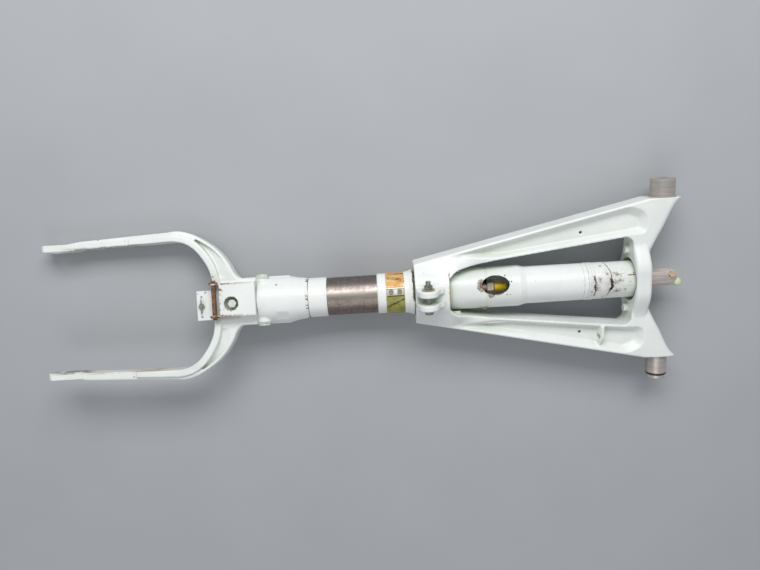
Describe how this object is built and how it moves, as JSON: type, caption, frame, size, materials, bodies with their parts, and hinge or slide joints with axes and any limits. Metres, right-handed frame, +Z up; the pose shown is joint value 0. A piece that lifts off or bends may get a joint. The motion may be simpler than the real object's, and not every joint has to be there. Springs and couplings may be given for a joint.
{
  "type": "landing gear strut",
  "caption": "Retractable nose gear air and oil strut with a wheel fork, chrome piston, steered barrel and trunnion yoke, shown lying on its back",
  "frame": {"origin": "centre of the wheel axle, on the strut's centre line, between the two fork pads", "axes": "+X along the strut from the axle to the trunnion, +Y along the trunnion pins, +Z up from the floor the strut lies on, the side with the drag brace clevis"},
  "size_m": [0.8235, 0.264, 0.098],
  "materials": {
    "cast_white": "semi-gloss white paint over a casting, chipped at the edges",
    "barrel_white": "white paint over a steel tube, chipped and soiled at the top",
    "bronze": "machined bronze bush",
    "pin_steel": "ground bare steel",
    "bolt_steel": "plated steel fastener",
    "painted_bolt": "fastener painted over with the casting",
    "rubber_black": "black rubber",
    "chrome_tube": "hard chrome plate, satin with age",
    "amber_band": "amber stained sheet",
    "yellow_cap": "yellow plastic",
    "rusty_steel": "rusted steel",
    "stem_metal": "bare machined metal, slightly pink",
    "brass_plug": "brass",
    "green_fitting": "pale green paint"
  },
  "bodies": {
    "yoke": {"trunnion_yoke": "cast_white", "collar_bushing": "bronze", "stem_bushing": "bronze", "trunnion_pin_upper": "pin_steel", "trunnion_pin_lower": "pin_steel", "pin_seal_ring": "rubber_black", "brace_bolt": "bolt_steel", "brace_washers": "bolt_steel", "brace_nut": "bolt_steel", "ring_bolts": "painted_bolt", "ring_bolt_nuts": "painted_bolt"},
    "barrel": {"barrel_tube": "barrel_white", "sleeve_screws": "brass_plug", "gland_nut": "cast_white", "split_band": "amber_band", "band_screws": "bolt_steel", "filler_valve": "rusty_steel", "valve_cap": "yellow_cap", "orifice_tube": "bolt_steel", "steering_stem": "stem_metal", "stem_plug": "brass_plug", "stem_fitting": "green_fitting"},
    "piston_ring": {"piston_bearing_ring": "bronze", "piston_seal": "rubber_black"},
    "piston_and_fork": {"piston_tube": "chrome_tube", "piston_snap_ring": "bolt_steel", "piston_top_plug": "bolt_steel", "piston_bottom_plug": "bolt_steel", "metering_pin": "bolt_steel", "stop_collar": "cast_white", "fork": "cast_white", "cross_bolt": "painted_bolt", "cross_bolt_nut": "painted_bolt", "tow_bracket": "cast_white", "bracket_washer": "rusty_steel", "bracket_bolt": "painted_bolt", "tow_pin": "rusty_steel", "tow_pin_washers": "rusty_steel", "keeper_plate": "cast_white", "keeper_screw": "bolt_steel", "cotter_pin": "bolt_steel"}
  },
  "joints": [
    {"name": "steering", "type": "hinge", "parent": "yoke", "child": "barrel", "pos_m": [0.48, 0, 0], "axis": [1, 0, 0], "range_deg": [-17, 43]},
    {"name": "strut_stroke", "type": "slide", "parent": "barrel", "child": "piston_ring", "axis": [1, 0, 0], "range_m": [-0.018, 0.058]},
    {"name": "fork_swivel", "type": "hinge", "parent": "piston_ring", "child": "piston_and_fork", "pos_m": [0.3, 0, 0], "axis": [1, 0, 0], "continuous": true}
  ]
}
